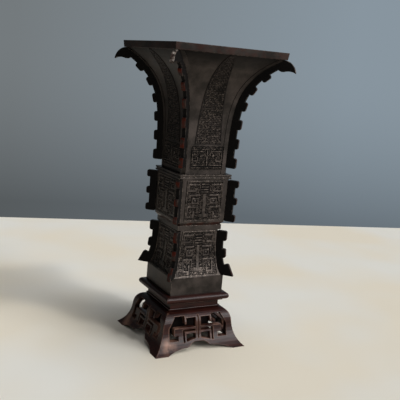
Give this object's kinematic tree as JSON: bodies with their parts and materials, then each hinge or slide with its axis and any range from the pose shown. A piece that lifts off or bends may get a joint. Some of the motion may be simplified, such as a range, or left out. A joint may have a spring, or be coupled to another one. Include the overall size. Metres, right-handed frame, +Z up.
{
  "type": "bronze zun vessel on stand",
  "caption": "Square flared bronze zun vessel with notched corner flanges, lifting off a carved openwork hardwood stand.",
  "frame": {"origin": "On the ground under the middle of the stand.", "axes": "+Z is up through the vessel's axis; the four faces look along X and Y, with the front at -Y."},
  "size_m": [0.135, 0.135, 0.3],
  "materials": {
    "bronze": "cast bronze with a dark brown patina, worn reddish on the edges",
    "hardwood": "dark reddish hardwood, oiled and polished"
  },
  "bodies": {
    "stand": {"top_panel": "hardwood", "edge_rail_front": "hardwood", "edge_rail_right": "hardwood", "edge_rail_back": "hardwood", "edge_rail_left": "hardwood", "waist_rail_front": "hardwood", "waist_rail_right": "hardwood", "waist_rail_back": "hardwood", "waist_rail_left": "hardwood", "side_board_front": "hardwood", "side_board_right": "hardwood", "side_board_back": "hardwood", "side_board_left": "hardwood", "lining_board_front": "hardwood", "lining_board_right": "hardwood", "lining_board_back": "hardwood", "lining_board_left": "hardwood", "corner_block_front_left": "hardwood", "corner_block_front_right": "hardwood", "corner_block_back_right": "hardwood", "corner_block_back_left": "hardwood", "dowels": "hardwood"},
    "vessel": {"mouth_lip": "bronze", "neck_shell": "bronze", "neck_flange_front_left": "bronze", "neck_flange_front_right": "bronze", "neck_flange_back_right": "bronze", "neck_flange_back_left": "bronze", "belly_shell": "bronze", "belly_flange_front_left": "bronze", "belly_flange_front_right": "bronze", "belly_flange_back_right": "bronze", "belly_flange_back_left": "bronze", "floor_plate": "bronze", "foot_shell": "bronze", "foot_flange_front_left": "bronze", "foot_flange_front_right": "bronze", "foot_flange_back_right": "bronze", "foot_flange_back_left": "bronze"}
  },
  "joints": [
    {"name": "vessel_lift", "type": "slide", "parent": "stand", "child": "vessel", "axis": [0, 0, 1], "range_m": [0, 0.08]}
  ]
}
